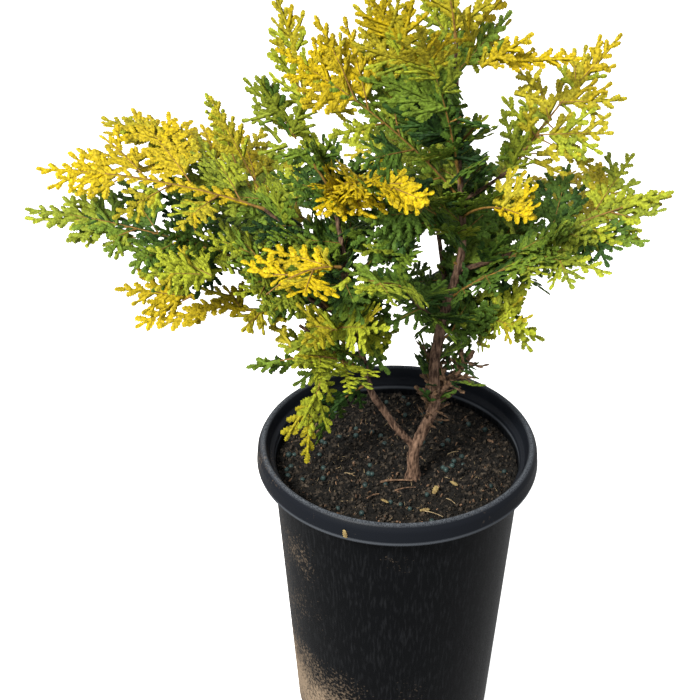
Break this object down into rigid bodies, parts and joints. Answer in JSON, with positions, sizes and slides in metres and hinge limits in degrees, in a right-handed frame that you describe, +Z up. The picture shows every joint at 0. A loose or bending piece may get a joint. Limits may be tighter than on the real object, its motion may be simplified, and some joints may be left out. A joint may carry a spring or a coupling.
{
  "type": "potted golden hinoki cypress",
  "caption": "Young golden hinoki cypress with flat sprays of gold and green foliage on two stems, in a round black nursery pot filled with potting mix.",
  "frame": {"origin": "centre of the pot's flat underside", "axes": "+Z up, +Y away from the side pictured, +X to the right as pictured"},
  "size_m": [0.3306, 0.2458, 0.4909],
  "materials": {
    "pot": "matt black, scuffed and dusty",
    "soil": "moist crumbly potting mix",
    "bark": "rough reddish-brown bark",
    "leaf_gold": "golden-yellow scale leaves",
    "leaf_lime": "yellow-green scale leaves",
    "leaf_green": "green scale leaves",
    "leaf_deep": "dark green scale leaves"
  },
  "bodies": {
    "root": {"pot": "pot", "soil": "soil", "trunk": "bark", "left_stem": "bark", "right_low_bough": "bark", "right_mid_bough": "bark", "right_high_bough": "bark", "front_bough": "bark", "front_left_bough": "bark", "back_bough": "bark", "back_right_bough": "bark", "left_low_bough": "bark", "left_mid_bough": "bark", "left_high_bough": "bark", "back_left_bough": "bark", "leader": "leaf_lime", "top_left_plume": "leaf_lime", "top_right_plume": "leaf_lime", "top_front_plume": "leaf_green", "top_back_plume": "leaf_green", "upper_left_spire": "leaf_lime", "upper_left_green": "leaf_green", "upper_left_gold": "leaf_gold", "upper_front_gold": "leaf_gold", "upper_right_gold": "leaf_gold", "left_gold_tier": "leaf_gold", "left_back_tier": "leaf_gold", "left_green_tier": "leaf_deep", "left_centre_tier": "leaf_green", "left_low_green": "leaf_green", "left_low_gold": "leaf_gold", "front_gold_fan": "leaf_gold", "front_green_fan": "leaf_green", "lower_left_fan": "leaf_lime", "lower_front_fan": "leaf_green", "hanging_frond": "leaf_lime", "dark_droop": "leaf_deep", "right_fan": "leaf_lime", "right_low_fan": "leaf_green", "right_feather": "leaf_lime", "right_yellow_spray": "leaf_gold", "right_low_lime": "leaf_lime", "trunk_brush": "leaf_deep", "trunk_right_brush": "leaf_deep", "centre_low_brush": "leaf_deep", "centre_left_brush": "leaf_deep", "centre_front_fan": "leaf_green", "centre_high_fan": "leaf_green", "centre_right_brush": "leaf_deep", "back_left_tier": "leaf_green", "back_tier": "leaf_lime", "back_right_tier": "leaf_gold", "back_low_fan": "leaf_green", "back_low_spray": "leaf_green", "back_high_fan": "leaf_green"}
  },
  "joints": []
}
